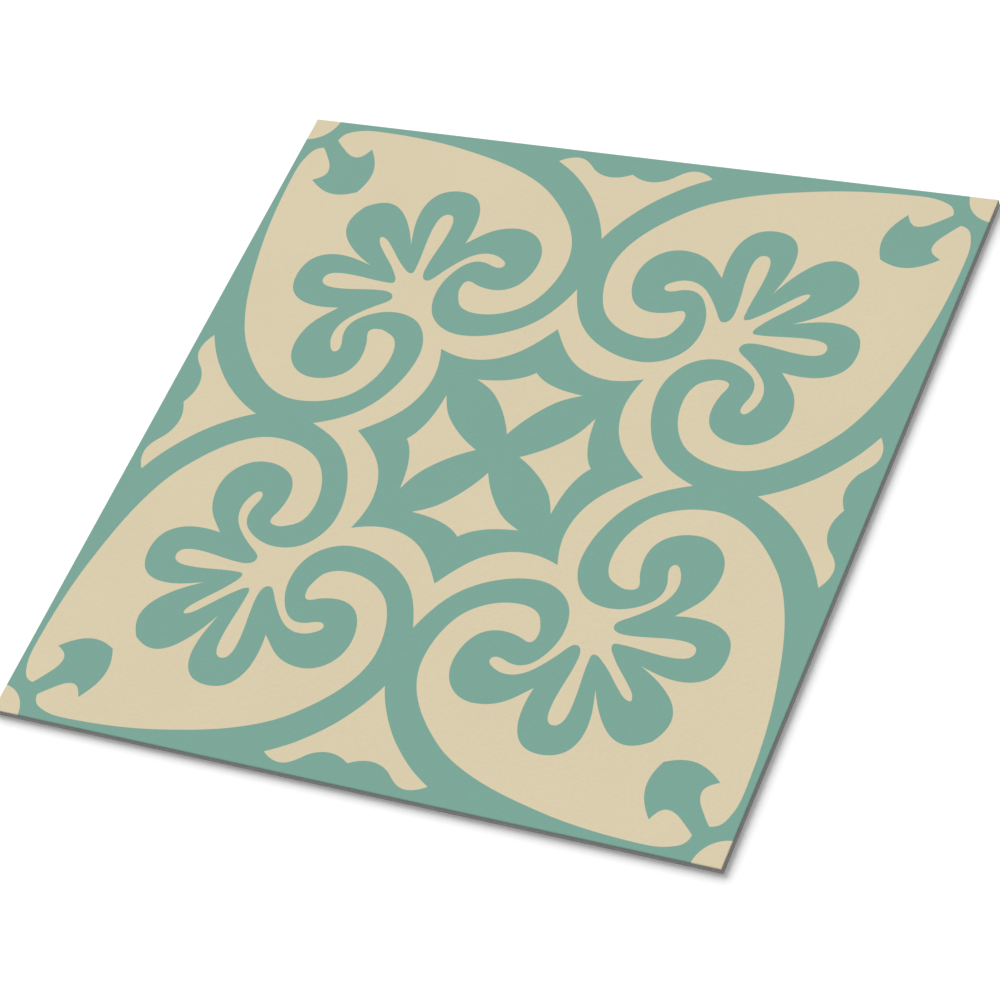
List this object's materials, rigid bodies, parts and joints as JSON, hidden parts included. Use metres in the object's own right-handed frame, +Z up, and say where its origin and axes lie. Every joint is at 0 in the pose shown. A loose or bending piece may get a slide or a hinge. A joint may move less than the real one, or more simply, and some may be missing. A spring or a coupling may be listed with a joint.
{
  "type": "vinyl floor tile",
  "caption": "Flat square vinyl floor tile with a printed traditional scroll and palmette pattern in green and cream on its face.",
  "frame": {"origin": "middle of the underside", "axes": "+Z up out of the printed face, +X and +Y square to two of the cut edges"},
  "size_m": [0.3048, 0.3048, 0.0032],
  "materials": {
    "printed_vinyl": "smooth printed vinyl face with a clear satin wear layer, grey vinyl filled with crushed limestone on the cut edges and back"
  },
  "bodies": {
    "root": {"tile": "printed_vinyl"}
  },
  "joints": []
}
